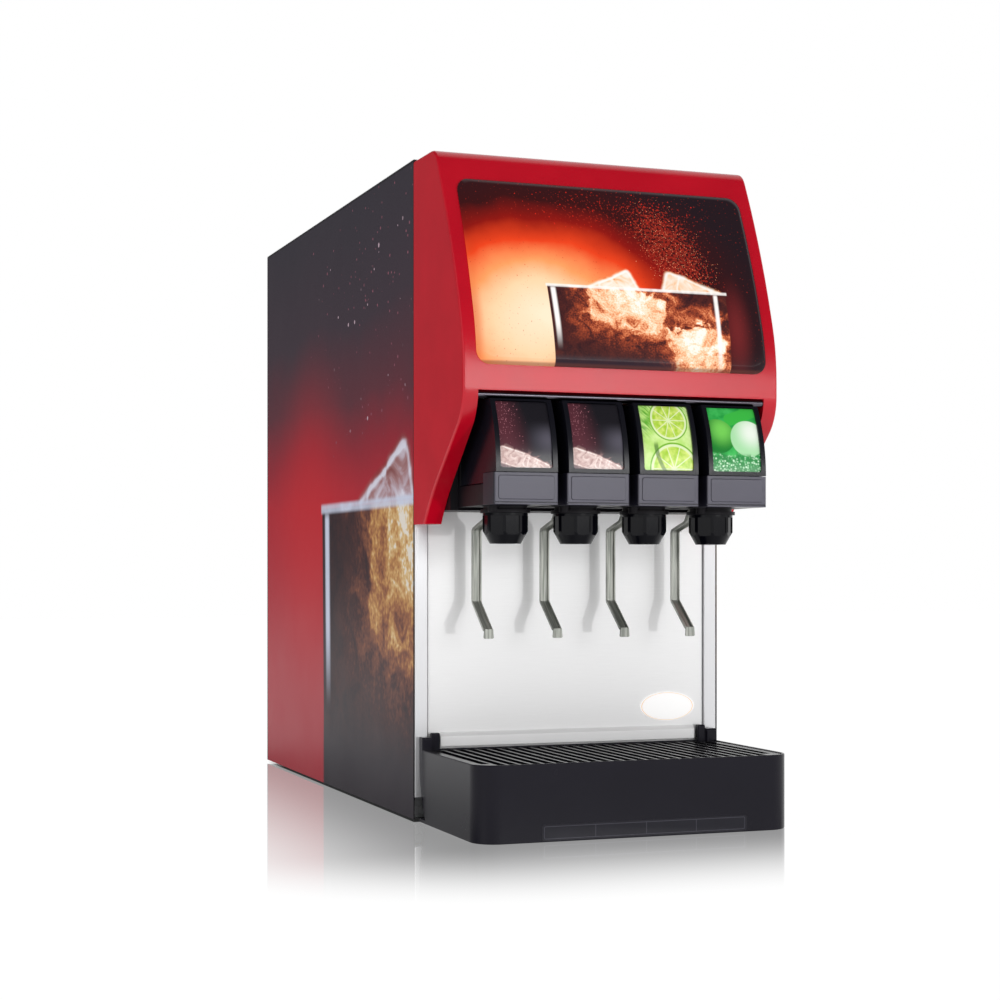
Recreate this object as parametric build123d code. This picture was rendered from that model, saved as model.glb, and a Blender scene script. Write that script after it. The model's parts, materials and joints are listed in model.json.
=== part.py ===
from build123d import *
import os
from math import asin, cos, degrees, radians, sin

# Countertop fountain soda dispenser with four post-mix valves. Millimetres, +Z up, front towards -Y,
# +X to the right of a person standing in front of it. The design frame below has its origin on the
# counter, in the plane of the cabinet's front. save() moves every part so that the origin ends up
# at the bottom centre of the whole machine.

os.makedirs("parts", exist_ok=True)

# ---- driving dimensions ---------------------------------------------------------------------
cabinet_width = 356
cabinet_depth = 670
cabinet_height = 700
foot_height = 3
sheet = 1.2                     # casing sheet
half = cabinet_width / 2
inner_half = half - sheet

head_reach = 148.5              # lip of the head in front of the cabinet
head_top = 698
head_wall = 3.5
head_draft = 4                  # each cheek leans in by this much at the lip
leg_width = 16
bay_top = 444.5
bay_half = half - head_draft - leg_width

sign_half = 160
sign_low = 470
sign_high = 665
sign_proud = 5
sign_corner = 14

valve_pitch = 77
valve_count = 4
valve_low = 331                 # underside of the valves
valve_half = 33.5
panel_half = 34
panel_top = 362.5
cover_half = 32.5
cover_top = 436
valve_front = -172
valve_back = -60
nozzle_y = -110
nozzle_outlet = 293
lever_pivot = (-74, 337)        # (Y, Z)

tray_reach = 186
tray_height = 77
tray_half = 172
tray_wall = 3
tray_corner = 25
grille_top = 76

post_width = 14.5
splash_half = 160.8
splash_y = 3
splash_low = 26
splash_high = 692

rear_reach = 24                 # hose stubs behind the back panel
deck_z = 395
bath_y = 225                    # centre of the cold bath
running_gap = 0.05              # radial clearance of a running fit

middle_y = (cabinet_depth + rear_reach - tray_reach) / 2
valve_x = [valve_pitch * (i - (valve_count - 1) / 2) for i in range(valve_count)]


# ---- helpers --------------------------------------------------------------------------------
def block(x, y, z):
    """Box from its (low, high) limits along X, Y and Z."""
    centre = [(low + high) / 2 for low, high in (x, y, z)]
    size = [high - low for low, high in (x, y, z)]
    return Pos(*centre) * Box(*size)


def wide(half_width, y, z):
    """Box centred across the machine."""
    return block((-half_width, half_width), y, z)


def rod(radius, base, length, along="Z"):
    """Cylinder that starts at base and runs along +X, +Y or +Z."""
    turn = {"X": Rot(0, 90, 0), "Y": Rot(-90, 0, 0), "Z": Rot(0, 0, 0)}[along]
    return Pos(*base) * turn * Cylinder(radius, length, align=(Align.CENTER, Align.CENTER, Align.MIN))


def tube(outer, inner, base, length, along="Z"):
    """Hollow cylinder, open at both ends."""
    return rod(outer, base, length, along) - rod(inner, base, length, along)


def across(section, low, high):
    """Extrude a (Y, Z) section across the machine, from X = low to X = high."""
    return extrude(Plane.YZ.offset(low) * section, amount=high - low)


def front_prism(sketch, y_back, y_front):
    """Extrude an (X, Z) sketch forwards from y_back to y_front."""
    return extrude(Plane.XZ.offset(-y_back) * sketch, amount=y_back - y_front)


def rounded_window(half_width, z, corner):
    """Rounded rectangle in (X, Z), centred across the machine."""
    low, high = z
    return Pos(0, (low + high) / 2) * RectangleRounded(2 * half_width, high - low, corner)


def ends(point):
    """A curve's end point as a plain (x, y) pair."""
    return (point.X, point.Y)


def save(name, shape):
    """Write one named part, moved into the machine's own frame."""
    moved = Pos(0, -middle_y, 0) * shape
    solids = moved.solids()
    result = solids[0] if len(solids) == 1 else Compound(children=list(solids))
    export_step(result, f"parts/{name}.step")


def mirrored_pair(name, shape):
    """Write a left-hand part and its mirror image on the right."""
    save(f"{name}_left", shape)
    save(f"{name}_right", mirror(shape, about=Plane.YZ))


# ---- casing ---------------------------------------------------------------------------------
screw_heights = (60, 250, 440, 630)
screw_x = 170.5
flange = 12


def side_panel():
    """Left side: plain sheet with a flange along its top and its rear edge."""
    back = cabinet_depth - sheet
    top = cabinet_height - sheet
    panel = block((-half, -inner_half), (0, back), (foot_height, top))
    panel += block((-inner_half, flange - inner_half), (0, back), (top - sheet, top))
    panel += block((-inner_half, flange - inner_half), (back - sheet, back), (foot_height + 3, top))
    for z in screw_heights:
        panel -= rod(2.1, (-screw_x, back - 3, z), 6, "Y")
    return panel


def top_lid():
    """Lid sheet with a locating rim that drops between the side flanges."""
    low = cabinet_height - sheet
    lid = wide(half, (0, cabinet_depth), (low, cabinet_height))
    rim = wide(164, (20, 655), (low - 10, low))
    rim -= wide(164 - sheet, (20 + sheet, 655 - sheet), (low - 10, low))
    return lid + rim


def base_pan():
    """Folded tray that closes the bottom and carries everything inside."""
    rear = cabinet_depth - 2 * sheet
    pan = wide(inner_half, (15.2, rear), (foot_height, 24))
    pan -= wide(inner_half - 1.5, (16.7, rear - 1.5), (foot_height + 1.5, 24))
    return pan


inlet_x = (-100, -60, -20, 20, 60, 100)
inlet_z = 130
stub_radius = 4
power_centre = (-120, 70)
power_half = (28, 12)
louvre_z = [430 + 22 * i for i in range(10)]
louvre_x = (-75, 75)
louvre_half = 60


def back_panel():
    """Rear sheet with hooded vents, hose holes and the cut-out of the power module."""
    low_y = cabinet_depth - sheet
    panel = wide(half, (low_y, cabinet_depth), (foot_height, cabinet_height - sheet))
    hood = make_face(Polyline((cabinet_depth, 0), (cabinet_depth + 6, 0), (cabinet_depth, 8), close=True))
    for z in louvre_z:
        for x in louvre_x:
            slot = (x - louvre_half, x + louvre_half)
            panel -= block(slot, (low_y, cabinet_depth), (z - 5, z))
            panel += Pos(0, 0, z) * across(hood, *slot)
    for x in inlet_x:
        panel -= rod(6, (x, low_y - 1, inlet_z), 4, "Y")
    x, z = power_centre
    width, height = power_half
    panel -= block((x - width, x + width), (low_y, cabinet_depth), (z - height, z + height))
    for x in (-screw_x, screw_x):
        for z in screw_heights:
            panel -= rod(2.1, (x, low_y - 1, z), 4, "Y")
    return panel


def panel_screws():
    """Pan-head screws that hold the back panel to the side flanges."""
    screws = []
    for x in (-screw_x, screw_x):
        for z in screw_heights:
            screw = rod(2, (x, cabinet_depth - 10, z), 10, "Y")
            head = rod(3.8, (x, cabinet_depth, z), 2.2, "Y")
            head = fillet(head.edges().filter_by(GeomType.CIRCLE).sort_by(Axis.Y)[-1], 1.2)
            head -= block((x - 0.5, x + 0.5), (cabinet_depth + 1.2, cabinet_depth + 3), (z - 2.4, z + 2.4))
            head -= block((x - 2.4, x + 2.4), (cabinet_depth + 1.2, cabinet_depth + 3), (z - 0.5, z + 0.5))
            screws.append(screw + head)
    return Compound(children=screws)


def rubber_feet():
    """Four low pads under the base pan."""
    pads = [rod(14, (x, y, 0), foot_height) for x in (-150, 150) for y in (40, 635)]
    return Compound(children=pads)


def splash_panel():
    """Stainless front sheet, folded back at both sides and out behind the posts."""
    z = (splash_low, splash_high)
    back = splash_y + 12.2
    panel = wide(splash_half, (splash_y, splash_y + sheet), z)
    for side in (-1, 1):
        fold = sorted((side * splash_half, side * (splash_half - sheet)))
        wing = sorted((side * (splash_half - sheet), side * inner_half))
        panel += block(fold, (splash_y, back), z)
        panel += block(wing, (back - sheet, back), z)
    return panel


def splash_post():
    """Left bright post: hollow square section, from the base pan to the top."""
    x = (-inner_half, post_width - inner_half)
    y = (0, 14)
    z = (splash_low, splash_high)
    post = block(x, y, z)
    inside = block((x[0] + sheet, x[1] - sheet), (y[0] + sheet, y[1] - sheet), z)
    post -= inside
    vertical = post.edges().filter_by(Axis.Z).sort_by(Axis.Y)
    outer_front = [edge for edge in vertical if abs(edge.center().Y) < 0.01]
    return fillet(outer_front, 1.0)


def splash_sill():
    """Strip along the foot of the splash panel, with a sloping top."""
    outline = Polyline((splash_y, 79), (-3, 79), (-3, 89.5), (0, 93), (splash_y, 94), close=True)
    return across(make_face(outline), -149, 149)


# ---- red head and sign ----------------------------------------------------------------------
lower_radius, lower_turn = 200, 17
upper_radius, upper_turn = 960, 10.6
nose_radius = 22
chin_radius, chin_turn = 50, 49
chin_start = 447
knee = (-73.4, 359)
shin_radius, shin_turn = 248, 14


def head_section():
    """Side outline of the head in (Y, Z): chin, bulging face, rounded nose, flat top and leg."""
    nose_turn = 90 - lower_turn - upper_turn
    rise = lower_radius * sin(radians(lower_turn))
    rise += upper_radius * (sin(radians(lower_turn + upper_turn)) - sin(radians(lower_turn)))
    rise += nose_radius * (1 - sin(radians(lower_turn + upper_turn)))
    face_start = (-head_reach, head_top - rise)
    face_low = JernArc(face_start, (0, 1), lower_radius, -lower_turn)
    face_high = JernArc(face_low @ 1, face_low % 1, upper_radius, -upper_turn)
    nose = JernArc(face_high @ 1, face_high % 1, nose_radius, -nose_turn)
    top = Line(nose @ 1, (0, head_top))
    chin = JernArc((-head_reach, chin_start), (0, -1), chin_radius, chin_turn)
    lip = Line((-head_reach, chin_start), face_start)
    slope = Line(chin @ 1, knee)
    shin = JernArc(knee, (sin(radians(chin_turn)), -cos(radians(chin_turn))), shin_radius, -shin_turn)
    foot = Line(shin @ 1, (0, (shin @ 1).Y))
    back = Line((0, (shin @ 1).Y), (0, head_top))
    return make_face([lip, face_low, face_high, nose, top, back, foot, shin, slope, chin])


def head_plan(inset):
    """Plan of the head: its cheeks lean in towards the lip."""
    reach = 2 * head_reach
    front = half - inset - head_draft * reach / head_reach
    back = half - inset + head_draft
    outline = Polyline((-back, head_reach), (-front, -reach), (front, -reach), (back, head_reach), close=True)
    return Pos(0, 0, 300) * extrude(make_face(outline), amount=420)


section = head_section()


def head_shell():
    """Red moulding: thin walls, open at the back, with hollow legs beside the valve bay."""
    inner = offset(section, amount=-head_wall, kind=Kind.INTERSECTION)
    shell = across(section, -half, half) & head_plan(0)
    creases = [edge for edge in shell.edges() if abs(edge.center().X) > half - 2 * head_draft]
    creases = [edge for edge in creases if edge.center().Y < -1 and edge.center().Z > 320]
    shell = fillet(creases, 2.5)
    hollow = across(inner, -half, half)
    hollow += Pos(0, 2 * head_wall, 0) * hollow
    hollow &= head_plan(head_wall)
    lip_floor = wide(bay_half + 3, (-200, 20), (300, bay_top + head_wall))
    shell -= hollow - lip_floor
    shell -= wide(bay_half, (-200, 20), (300, bay_top))
    window = rounded_window(sign_half - 1.5, (sign_low + 1.5, sign_high - 1.5), sign_corner - 1.5)
    shell -= front_prism(window, -50, -200)
    return shell


def sign_ring(inset, depth):
    """Prism through the sign's rounded outline, drawn in by inset, reaching forward past the head."""
    z = (sign_low + inset, sign_high - inset)
    outline = rounded_window(sign_half - inset, z, sign_corner - inset)
    return front_prism(outline, -depth, -200)


def sign_lens():
    """Curved translucent sign: a raised face, a rim that rests on the head and a skirt in the window."""
    proud = across(offset(section, amount=sign_proud), -half, half)
    backing = across(offset(section, amount=2), -half, half)
    head_face = across(section, -half, half)
    inside = across(offset(section, amount=-head_wall, kind=Kind.INTERSECTION), -half, half)
    plate = (proud - backing) & sign_ring(0, 50)
    rim = (backing - head_face) & (sign_ring(0, 50) - sign_ring(3, 50))
    skirt = (head_face - inside) & (sign_ring(1.8, 50) - sign_ring(4.5, 50))
    return plate + rim + skirt


def sign_light_box():
    """Shallow folded box that holds the lamp strips behind the sign."""
    z = (sign_low + 2, sign_high - 2)
    box = wide(156, (-50, splash_y), z)
    return box - wide(154.5, (-50, splash_y - 1.5), (z[0] + 1.5, z[1] - 1.5))


def sign_led_strips():
    """Four lamp strips, each with a row of lamps."""
    strips = []
    back = splash_y - 1.5
    for i in range(4):
        z = sign_low + 28 + 46 * i
        strip = wide(145, (back - 1.6, back), (z - 5, z + 5))
        for j in range(15):
            strip += block((j * 20 - 142.5, j * 20 - 137.5), (back - 3.2, back - 1.6), (z - 2.5, z + 2.5))
        strips.append(strip)
    return Compound(children=strips)


# ---- valve bay ------------------------------------------------------------------------------
def valve_apron():
    """Black housing behind the valves, hollow for the drink lines that come through the front sheet."""
    apron = wide(bay_half - 0.5, (valve_back, splash_y), (328, 434))
    apron -= wide(bay_half - 3.5, (valve_back + 3, splash_y), (331, 431))
    for x in valve_x:
        for side in (-1, 1):
            apron -= rod(4, (x + 14 * side, valve_back - 1, 341), 6, "Y")
    return apron


bar_radius = 4


def valve_retaining_bar():
    """Round bar above the covers, from leg to leg, close under the lip of the head."""
    return rod(bar_radius, (-bay_half, -143, bay_top - bar_radius - 0.1), 2 * bay_half, "X")


def cover_section():
    """Side outline of a valve cover in (Y, Z), with a bulging front."""
    radius = 150
    low = panel_top + 0.5
    start = (valve_front, low)
    turn = degrees(asin((cover_top - low) / radius))
    bulge = JernArc(start, (0, 1), radius, -turn)
    back = valve_back - 6
    edge = Polyline(ends(bulge @ 1), (back, cover_top), (back, 353), (-138, 353), (-138, low), start)
    return make_face([bulge, edge])


cover_wall = 2
cover_outline = cover_section()


def valve_cover():
    """Hood over the solenoids, open below and behind, with a window for the picture card."""
    inner = offset(cover_outline, amount=-cover_wall, kind=Kind.INTERSECTION)
    cavity = across(inner, cover_wall - cover_half, cover_half - cover_wall)
    cavity += Pos(0, 2 * cover_wall, 0) * cavity
    cavity += Pos(0, 0, -2 * cover_wall) * cavity
    cover = across(cover_outline, -cover_half, cover_half) - cavity
    window = rounded_window(27.5, (367, 434), 2.5)
    return cover - front_prism(window, -146, -200)


def flavour_card():
    """Thin picture card that lies against the inside of the cover's window."""
    outer = offset(cover_outline, amount=-cover_wall, kind=Kind.INTERSECTION)
    inner = offset(cover_outline, amount=-cover_wall - 0.6, kind=Kind.INTERSECTION)
    sheet_of_card = across(outer, -29.5, 29.5) - across(inner, -29.5, 29.5)
    return sheet_of_card & wide(29.5, (-200, -146), (365.5, 433.3))


plate_proud = 0.8


def access_panel():
    """Lower front cap of a valve: a raised plate in a frame, above a narrow lip."""
    front = valve_front + 1
    frame = front + plate_proud
    z = (valve_low, panel_top)
    cap = wide(panel_half, (frame, -138), z)
    upright = cap.edges().filter_by(Axis.Z).sort_by(Axis.Y)[:2]
    cap = fillet(upright, 2)
    cap -= wide(panel_half - 2, (frame + 2.5, -138), (z[0] + 2, z[1] - 2))
    cap -= wide(panel_half + 1, (frame - 1, frame + 1), (z[0] + 1.6, z[0] + 2.6))
    plate = front_prism(rounded_window(29.5, (z[0] + 5, z[1] - 3), 2.5), frame, front)
    plate = fillet(plate.faces().sort_by(Axis.Y)[0].edges(), plate_proud - 0.2)
    return cap + plate


pin_radius = 1.5
hub_radius = 4
collar_outer = 22
flange_outer = 25.5
neck_radius = 18


def valve_body():
    """Lower block of a valve: rear plate, flanged nozzle collar, latch boss and slot of the cup lever."""
    pivot_y, pivot_z = lever_pivot
    body = wide(valve_half, (-138, valve_back), (valve_low, 352))
    body += wide(30, (-160, -138), (335, 350))
    body += wide(valve_half, (valve_back - 6, valve_back), (352, 434))
    body += rod(collar_outer, (0, nozzle_y, valve_low - 7), 7)
    body += rod(flange_outer, (0, nozzle_y, valve_low - 7), 3.5)
    body += rod(5.5, (-18.5, nozzle_y - 15, valve_low - 6), 6)
    body -= rod(neck_radius + running_gap, (0, nozzle_y, valve_low - 7), 7)
    body -= wide(6.2, (pivot_y - 8, valve_back + 1), (valve_low - 1, pivot_z + 6))
    body -= rod(pin_radius, (-12, pivot_y, pivot_z), 24, "X")
    for side in (-1, 1):
        body -= rod(3, (14 * side, nozzle_y, 341), valve_back - nozzle_y, "Y")
        body -= rod(3, (14 * side, nozzle_y, 341), 11.5)
    return body


def valve_solenoids():
    """Water and syrup solenoids of one valve."""
    coils = []
    for side in (-1, 1):
        coil = rod(11, (14 * side, nozzle_y, 352), 34)
        coil += rod(7, (14 * side, nozzle_y, 386), 10)
        coil += block((14 * side - 6, 14 * side + 6), (nozzle_y - 16, nozzle_y - 9), (358, 378))
        coils.append(coil)
    return coils


def nozzle_diffuser():
    """Fluted plug that hangs from the valve inside the nozzle."""
    plug = rod(13, (0, nozzle_y, 306), valve_low - 306)
    for i in range(8):
        flute = Pos(0, nozzle_y, 0) * Rot(0, 0, 45 * i) * block((11.5, 14), (-2, 2), (306, 326))
        plug -= flute
    return plug


def nozzle():
    """Black nozzle: bayonet neck, straight body with eight flats, and a cone down to the outlet."""
    top = valve_low - 7.2
    shoulder = 306
    body = rod(23, (0, nozzle_y, shoulder), top - shoulder)
    cone = Pos(0, nozzle_y, (shoulder + nozzle_outlet) / 2) * Cone(15.8, 23, shoulder - nozzle_outlet)
    body += cone
    for i in range(8):
        facet = block((20.8, 25), (-7.2, 7.2), (nozzle_outlet, top - 2.5))
        body -= Pos(0, nozzle_y, 0) * Rot(0, 0, 45 * i) * facet
    body += rod(neck_radius, (0, nozzle_y, top), 6)
    body -= rod(16, (0, nozzle_y, 303), top + 6 - 303)
    body -= rod(11, (0, nozzle_y, nozzle_outlet), 20)
    return body


lever_half = 5
lever_tip = (-60, 203)


def lever_path():
    """Centre line of a cup lever in (Y, Z): out of the valve, back, down and forward again."""
    pivot_y, pivot_z = lever_pivot
    points = [(pivot_y, pivot_z), (-58, 319), (-24, 310), (-24, 232), lever_tip]
    return FilletPolyline(*points, radius=5)


def cup_lever():
    """Pressed channel: a thin web with two raised edges, a hub for its pin and a turned-down tip."""
    pivot_y, pivot_z = lever_pivot
    tip_y, tip_z = lever_tip
    path = lever_path()
    lever = across(trace(path, 1.4), -lever_half, lever_half)
    edge = Face(path.offset_2d(3, side=Side.RIGHT, closed=True))
    lever += across(edge, -lever_half, 1.2 - lever_half) + across(edge, lever_half - 1.2, lever_half)
    lever += rod(hub_radius, (-lever_half, pivot_y, pivot_z), 2 * lever_half, "X")
    tip = Polyline((-4.6, tip_z + 2), (4.6, tip_z + 2), (5.4, tip_z - 8), (-5.4, tip_z - 8), close=True)
    tip = front_prism(make_face(tip), tip_y + 1, tip_y - 1.4)
    lever += fillet(tip.edges().filter_by(Axis.Y).sort_by(Axis.Z)[:2], 1.5)
    lever -= rod(pin_radius + running_gap, (-8, pivot_y, pivot_z), 16, "X")
    return lever


def write_valves():
    """The four valves, each with its own cover, panel, nozzle and lever."""
    body = valve_body()
    cover = valve_cover()
    panel = access_panel()
    spout = nozzle()
    lever = cup_lever()
    for number, x in enumerate(valve_x, start=1):
        save(f"valve_body_{number}", Pos(x, 0, 0) * body)
        save(f"valve_cover_{number}", Pos(x, 0, 0) * cover)
        save(f"access_panel_{number}", Pos(x, 0, 0) * panel)
        save(f"nozzle_{number}", Pos(x, 0, 0) * spout)
        save(f"cup_lever_{number}", Pos(x, 0, 0) * lever)


def write_valve_groups():
    """Small repeated pieces of the valves, each kind as one group."""
    pivot_y, pivot_z = lever_pivot
    card = flavour_card()
    diffuser = nozzle_diffuser()
    coils = valve_solenoids()
    pin = rod(pin_radius, (-12, pivot_y, pivot_z), 24, "X")
    save("flavour_cards", Compound(children=[Pos(x, 0, 0) * card for x in valve_x]))
    save("nozzle_diffusers", Compound(children=[Pos(x, 0, 0) * diffuser for x in valve_x]))
    save("valve_solenoids", Compound(children=[Pos(x, 0, 0) * coil for x in valve_x for coil in coils]))
    save("lever_pins", Compound(children=[Pos(x, 0, 0) * pin for x in valve_x]))


# ---- drip tray ------------------------------------------------------------------------------
tray_back = -0.5
tray_bend_top = 66              # the back curves forward below this height
tray_bend_radius, tray_bend_turn = 110, 34
ear_inside = 151                # the tray's raised rear corners begin here
ear_step = 160
ear_reach = 12
rim_depth = 6                   # the grille lies this deep in the tray


def tray_plan(inset):
    """Plan of the tray: square at the back, with large rounded front corners."""
    x = tray_half - inset
    front = -tray_reach + inset
    back = tray_back - inset
    outline = make_face(Polyline((-x, back), (-x, front), (x, front), (x, back), close=True))
    return fillet(outline.vertices().sort_by(Axis.Y)[:2], tray_corner - inset)


def tray_side(inset):
    """Prism of the tray's side outline: its back runs forward in a long arc towards the counter."""
    back = tray_back - inset
    front = -tray_reach - 1
    bend = JernArc((back, tray_bend_top), (0, -1), tray_bend_radius - inset, -tray_bend_turn)
    bend_low = ends(bend @ 1)
    low = Polyline(bend_low, (bend_low[0], -1), (front, -1), (front, 100), (back, 100), (back, tray_bend_top))
    return across(make_face([bend, low]), -tray_half, tray_half)


def drip_tray():
    """Deep tray with a ledge for the grille, a foot along its back and two raised rear corners."""
    ledge = grille_top - rim_depth
    well_inset = tray_wall + 2.5
    tray = extrude(tray_plan(0), amount=tray_height) & tray_side(0)
    well = Pos(0, 0, tray_wall) * extrude(tray_plan(well_inset), amount=tray_height)
    tray -= well & tray_side(well_inset)
    tray -= Pos(0, 0, ledge) * extrude(tray_plan(tray_wall), amount=tray_height)
    tray += wide(tray_half, (-20, tray_back), (0, 4.5))
    for side in (-1, 1):
        for near, far, reach, top in ((ear_step, tray_half, ear_reach, 90), (ear_inside, ear_step, 8, 94)):
            step = block(sorted((side * near, side * far)), (-reach, tray_back), (ledge, top))
            tray += fillet(step.edges().filter_by(Axis.X).sort_by(Axis.Y)[:2].sort_by(Axis.Z)[-1], 2)
    return tray


slat_count = 26
slat_pitch = 12.4
slat_width = 3.4


def drip_grille():
    """Cup rest: thin slats that run front to back in a narrow frame, on three cross bars."""
    low = grille_top - rim_depth
    grille = Pos(0, 0, low) * extrude(tray_plan(tray_wall + 0.4), amount=rim_depth)
    slot_front, slot_back = 9 - tray_reach, -9
    opening = slat_pitch - slat_width
    for i in range(slat_count):
        x = (i - (slat_count - 1) / 2) * slat_pitch
        reach = (slot_front, slot_back)
        if i in (0, slat_count - 1):
            reach = (slot_front + 16, slot_back - 8)
        grille -= block((x - opening / 2, x + opening / 2), reach, (low - 1, grille_top + 1))
    for y in (-36, -92, -148):
        grille += wide(tray_half - 8, (y - 2, y + 2), (low, grille_top - 2.5))
    for side in (-1, 1):
        notch = sorted((side * (ear_inside - 0.6), side * tray_half))
        grille -= block(notch, (-ear_reach - 0.6, 0), (low - 1, grille_top + 1))
    return grille


# ---- cooling and carbonation ----------------------------------------------------------------
def water_bath_tank():
    """Open plastic tank of the cold bath."""
    tank = wide(150, (50, 400), (25, deck_z))
    return tank - wide(147, (53, 397), (28, deck_z))


def tank_foam_jacket():
    """Foam round and under the tank."""
    jacket = wide(170, (30, 420), (foot_height + 1.5, deck_z))
    return jacket - wide(150, (50, 400), (25, deck_z))


def coil_stack(radius, thickness, z_low, z_high, count):
    """Level rings of cooling tube, one above another."""
    stack = None
    step = (z_high - z_low) / (count - 1)
    for i in range(count):
        ring = Pos(0, bath_y, z_low + step * i) * Rot(0, 0, 40) * Torus(radius, thickness)
        stack = ring if stack is None else stack + ring
    return stack


riser_x = 128


def evaporator_coil():
    """Refrigerant coil of the ice bank, with its two pipes up through the deck."""
    low = 90
    coil = coil_stack(riser_x - 3, 6, low, 330, 7)
    for x in (-riser_x, riser_x):
        coil += rod(5, (x, bath_y, low), deck_z + 30 - low)
    return coil


def product_coils():
    """Two nested drink coils inside the ice bank."""
    coils = []
    low = 100
    for radius in (100, 76):
        coil = coil_stack(radius, 4, low, 320, 8)
        for offset_y in (-radius - 2, radius + 2):
            coil += rod(3.2, (0, bath_y + offset_y, low), deck_z - 8 - low)
        coils.append(coil)
    return Compound(children=coils)


def refrigeration_deck():
    """Steel shelf on the tank, with an upturned front edge and two legs at the back."""
    deck = wide(inner_half, (30, 667.6), (deck_z, deck_z + 2))
    deck += wide(inner_half, (30, 31.5), (deck_z, deck_z + 18))
    deck -= rod(14, (0, bath_y, deck_z - 1), 4)
    for side in (-1, 1):
        deck -= rod(7, (side * riser_x, bath_y, deck_z - 1), 4)
        leg = sorted((side * 150, side * 166))
        deck += block(leg, (636, 654), (foot_height + 1.5, deck_z))
    return deck


shaft_radius = 4
agitator_top = deck_z + 60


def agitator_motor():
    """Motor that stirs the bath, on a round flange."""
    base = deck_z + 2
    motor = rod(50, (0, bath_y, base), 4) + rod(38, (0, bath_y, base + 4), 66)
    motor = fillet(motor.edges().filter_by(GeomType.CIRCLE).sort_by(Axis.Z)[-1], 6)
    return motor - rod(shaft_radius + running_gap, (0, bath_y, base - 1), agitator_top + 1 - base)


def agitator_impeller():
    """Long shaft with four pitched blades near the bottom of the bath."""
    impeller = rod(shaft_radius, (0, bath_y, 150), agitator_top - 150)
    impeller += rod(9, (0, bath_y, 150), 22)
    for i in range(4):
        blade = Rot(0, 0, 90 * i) * Pos(24, 0, 161) * Rot(30, 0, 0) * Box(36, 2.5, 18)
        impeller += Pos(0, bath_y, 0) * blade
    return impeller


def compressor():
    """Hermetic compressor can on a foot plate, with its two stub pipes."""
    x, y, base = -70, 375, deck_z + 2
    can = rod(68, (x, y, base + 10), 150)
    rims = can.edges().filter_by(GeomType.CIRCLE)
    can = fillet(rims, 26)
    can += block((x - 80, x + 80), (y - 55, y + 55), (base + 6, base + 10))
    can += rod(30, (x, y, base + 6), 10)
    for dx in (-68, 68):
        for dy in (-43, 43):
            can += rod(9, (x + dx, y + dy, base), 6)
    can += block((x - 18, x + 18), (y + 60, y + 84), (base + 60, base + 100))
    can += rod(5, (x + 30, y, base + 150), 30) + rod(4, (x - 30, y, base + 150), 30)
    return can


condenser_y = (614, 648)


def condenser():
    """Fin pack with six tubes and their end plates."""
    low, high = deck_z + 2, 640
    pack = None
    for x in (-140, 138):
        plate = block((x, x + 2), condenser_y, (low, high))
        pack = plate if pack is None else pack + plate
    middle = sum(condenser_y) / 2
    for i in range(6):
        pack += rod(5, (-146, middle, low + 22 + 40 * i), 292, "X")
    for i in range(34):
        x = -132 + 8 * i
        pack += block((x, x + 1), condenser_y, (low + 6, high - 4))
    return pack


fan_z = 520
fan_radius = 96


def fan_motor():
    """Fan motor on four arms inside its square shroud."""
    shroud = wide(140, (574, 612), (deck_z + 2, 642))
    shroud -= wide(137, (577, 612), (deck_z + 5, 639))
    shroud -= rod(fan_radius + 6, (0, 570, fan_z), 12, "Y")
    shroud += rod(28, (0, 505, fan_z), 62, "Y")
    for angle in (45, 135, 225, 315):
        arm = Rot(0, angle, 0) * block((24, fan_radius + 12), (567, 574), (-5, 5))
        shroud += Pos(0, 0, fan_z) * arm
    shroud += rod(28, (0, 560, fan_z), 10, "Y")
    return shroud - rod(shaft_radius + running_gap, (0, 540, fan_z), 40, "Y")


def fan_blade():
    """Five-bladed fan with its shaft."""
    fan = rod(18, (0, 580, fan_z), 18, "Y") + rod(shaft_radius, (0, 542, fan_z), 40, "Y")
    for i in range(5):
        blade = Rot(0, 72 * i, 0) * Pos(54, 590, 0) * Rot(28, 0, 0) * Box(78, 2, 34)
        fan += Pos(0, 0, fan_z) * blade
    return fan


def carbonator_tank():
    """Upright pressure vessel with domed ends, a foot ring and three ports."""
    x, y, base = 90, 545, foot_height + 1.5
    tank = rod(50, (x, y, base + 12), 280)
    tank = fillet(tank.edges().filter_by(GeomType.CIRCLE), 22)
    cavity = rod(48, (x, y, base + 14), 276)
    tank -= fillet(cavity.edges().filter_by(GeomType.CIRCLE), 20)
    tank += tube(40, 37, (x, y, base), 16)
    for dx in (-16, 0, 16):
        tank += rod(4.5, (x + dx, y, base + 285), 24)
    return tank


def carbonator_pump():
    """Pump motor lying front to back on a foot, with the pump head behind it."""
    x, z, base = -80, 78, foot_height + 1.5
    pump = rod(52, (x, 450, z), 126, "Y")
    pump = fillet(pump.edges().filter_by(GeomType.CIRCLE), 8)
    pump += rod(26, (x, 570, z), 58, "Y")
    pump += block((x - 12, x + 12), (596, 616), (z, z + 38))
    pump += block((x - 45, x + 45), (476, 556), (base, base + 4))
    pump += block((x - 22, x + 22), (486, 546), (base, z - 40))
    return pump


def control_box():
    """Electrical box on the deck with a lid and three cable glands."""
    base = deck_z + 2
    box = wide(110, (45, 130), (base, base + 78)) - wide(108, (47, 128), (base + 2, base + 78))
    box += wide(112, (43, 132), (base + 78, base + 82))
    for x in (-60, 0, 60):
        box += rod(8, (x, 130, base + 30), 12, "Y")
    return box


# ---- services on the back -------------------------------------------------------------------
rocker_x = 17
rocker_y = cabinet_depth - 2
rocker_half = 8.8


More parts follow.
